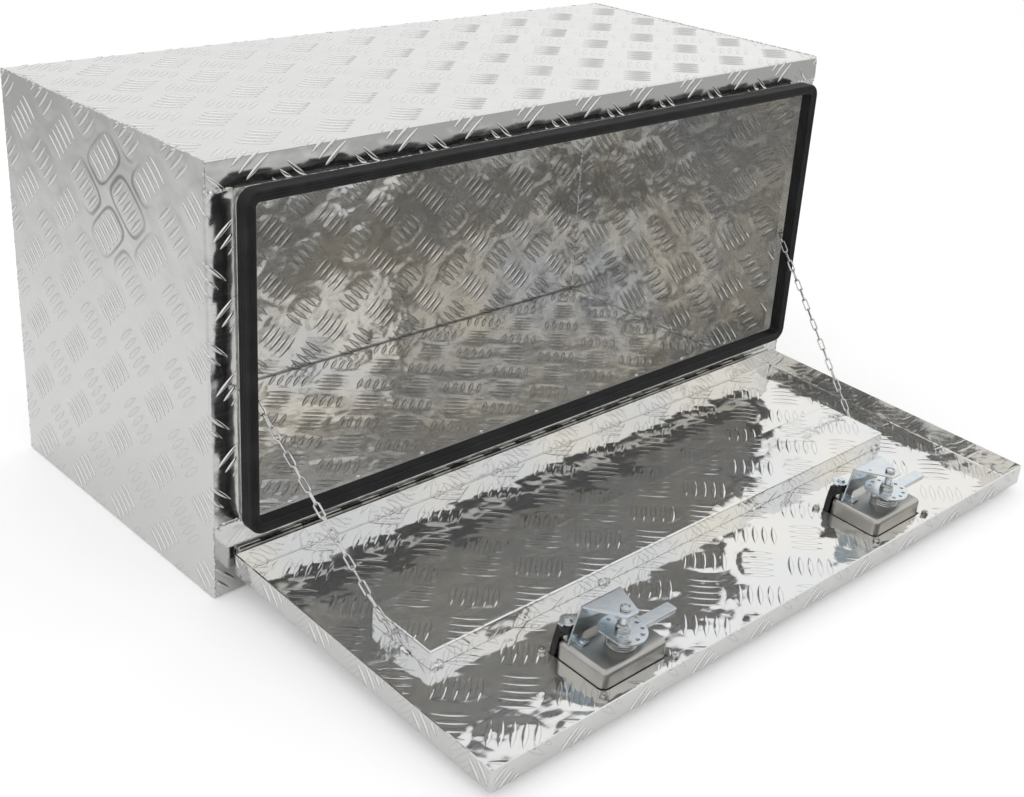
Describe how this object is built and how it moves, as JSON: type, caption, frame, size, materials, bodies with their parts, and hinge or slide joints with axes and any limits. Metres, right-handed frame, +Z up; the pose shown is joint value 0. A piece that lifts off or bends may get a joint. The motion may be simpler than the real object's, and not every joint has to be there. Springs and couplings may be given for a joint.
{
  "type": "drop-door tool box",
  "caption": "Rectangular underbody tool box in folded tread plate with a drop-down door, stay chains, a door seal and folding T-handle latches.",
  "frame": {"origin": "centre of the box's bottom face", "axes": "+Z up, +X along the box's length, -Y out of the door opening"},
  "size_m": [0.9144, 0.8011, 0.4572],
  "materials": {
    "tread_plate": "bright five-bar tread plate outside, mill-bright smooth inside",
    "plain_sheet": "mill-bright plain sheet",
    "seal_rubber": "matt ribbed rubber",
    "hinge_steel": "satin rolled stainless steel",
    "chain_steel": "bright plated wire",
    "dish_steel": "satin pressed stainless steel",
    "zinc_plate": "bluish bright zinc plating",
    "spring_steel": "bright spring wire",
    "lock_black": "black lock body"
  },
  "bodies": {
    "box_body": {"body_wrap": "tread_plate", "side_panel_left": "tread_plate", "side_panel_right": "tread_plate", "opening_lip": "plain_sheet", "door_seal": "seal_rubber", "hinge_body_leaf": "hinge_steel", "hinge_pin": "hinge_steel", "chain_stud_left": "chain_steel", "chain_stud_right": "chain_steel"},
    "door": {"door_pan": "tread_plate", "door_stiffener": "plain_sheet", "hinge_door_leaf": "hinge_steel", "chain_bolt_left": "chain_steel", "chain_bolt_right": "chain_steel", "latch_dish_left": "dish_steel", "latch_screw_left_1": "hinge_steel", "latch_screw_left_2": "hinge_steel", "latch_screw_left_3": "hinge_steel", "latch_screw_left_4": "hinge_steel", "lock_body_left": "lock_black", "latch_bracket_left": "zinc_plate", "latch_spring_left": "spring_steel", "latch_dish_right": "dish_steel", "latch_screw_right_1": "hinge_steel", "latch_screw_right_2": "hinge_steel", "latch_screw_right_3": "hinge_steel", "latch_screw_right_4": "hinge_steel", "lock_body_right": "lock_black", "latch_bracket_right": "zinc_plate", "latch_spring_right": "spring_steel"},
    "chain_top_left": {"chain_upper_left": "chain_steel"},
    "chain_top_right": {"chain_upper_right": "chain_steel"},
    "chain_foot_left": {"chain_lower_left": "chain_steel"},
    "chain_foot_right": {"chain_lower_right": "chain_steel"},
    "latch_turn_left": {"latch_shaft_left": "zinc_plate", "latch_disc_left": "zinc_plate", "latch_blade_left": "zinc_plate", "latch_nuts_left": "zinc_plate", "shaft_top_nut_left": "zinc_plate"},
    "latch_turn_right": {"latch_shaft_right": "zinc_plate", "latch_disc_right": "zinc_plate", "latch_blade_right": "zinc_plate", "latch_nuts_right": "zinc_plate", "shaft_top_nut_right": "zinc_plate"},
    "handle_left": {"t_handle_left": "zinc_plate", "handle_pin_left": "zinc_plate"},
    "handle_right": {"t_handle_right": "zinc_plate", "handle_pin_right": "zinc_plate"},
    "lock_left": {"lock_plug_left": "zinc_plate", "lock_cam_left": "zinc_plate"},
    "lock_right": {"lock_plug_right": "zinc_plate", "lock_cam_right": "zinc_plate"}
  },
  "joints": [
    {"name": "door_hinge", "type": "hinge", "parent": "box_body", "child": "door", "pos_m": [0, -0.2067, 0.0485], "axis": [1, 0, 0], "range_deg": [-92.34, 0]},
    {"name": "chain_top_swing_left", "type": "hinge", "parent": "box_body", "child": "chain_top_left", "pos_m": [-0.4165, -0.2087, 0.2245], "axis": [1, 0, 0], "range_deg": [0, 43.2]},
    {"name": "chain_top_swing_right", "type": "hinge", "parent": "box_body", "child": "chain_top_right", "pos_m": [0.4165, -0.2087, 0.2245], "axis": [1, 0, 0], "range_deg": [0, 43.2]},
    {"name": "chain_foot_swing_left", "type": "hinge", "parent": "door", "child": "chain_foot_left", "pos_m": [-0.381, -0.39158, 0.02964], "axis": [1, 0, 0], "range_deg": [-44.5, 0]},
    {"name": "chain_foot_swing_right", "type": "hinge", "parent": "door", "child": "chain_foot_right", "pos_m": [0.372, -0.39158, 0.02964], "axis": [1, 0, 0], "range_deg": [-44.5, 0]},
    {"name": "latch_turn_left", "type": "hinge", "parent": "door", "child": "latch_turn_left", "pos_m": [-0.2218, -0.53995, 0.01106], "axis": [0, -0.0408, 0.9992], "range_deg": [-90, 0]},
    {"name": "latch_turn_right", "type": "hinge", "parent": "door", "child": "latch_turn_right", "pos_m": [0.2218, -0.53995, 0.01106], "axis": [0, -0.0408, 0.9992], "range_deg": [-90, 0]},
    {"name": "handle_fold_left", "type": "hinge", "parent": "latch_turn_left", "child": "handle_left", "pos_m": [-0.2218, -0.54032, 0.02005], "axis": [1, 0, 0], "range_deg": [-90, 0]},
    {"name": "handle_fold_right", "type": "hinge", "parent": "latch_turn_right", "child": "handle_right", "pos_m": [0.2218, -0.54032, 0.02005], "axis": [1, 0, 0], "range_deg": [-90, 0]},
    {"name": "lock_turn_left", "type": "hinge", "parent": "door", "child": "lock_left", "pos_m": [-0.25505, -0.50028, 0.01268], "axis": [0, -0.0408, 0.9992], "range_deg": [-90, 0]},
    {"name": "lock_turn_right", "type": "hinge", "parent": "door", "child": "lock_right", "pos_m": [0.18855, -0.50028, 0.01268], "axis": [0, -0.0408, 0.9992], "range_deg": [-90, 0]}
  ],
  "couplings": [
    {"joint": "chain_top_swing_left", "follows": "door_hinge", "ratio": -0.46765},
    {"joint": "chain_top_swing_right", "follows": "door_hinge", "ratio": -0.46765},
    {"joint": "chain_foot_swing_left", "follows": "door_hinge", "ratio": 0.48166},
    {"joint": "chain_foot_swing_right", "follows": "door_hinge", "ratio": 0.48166}
  ]
}
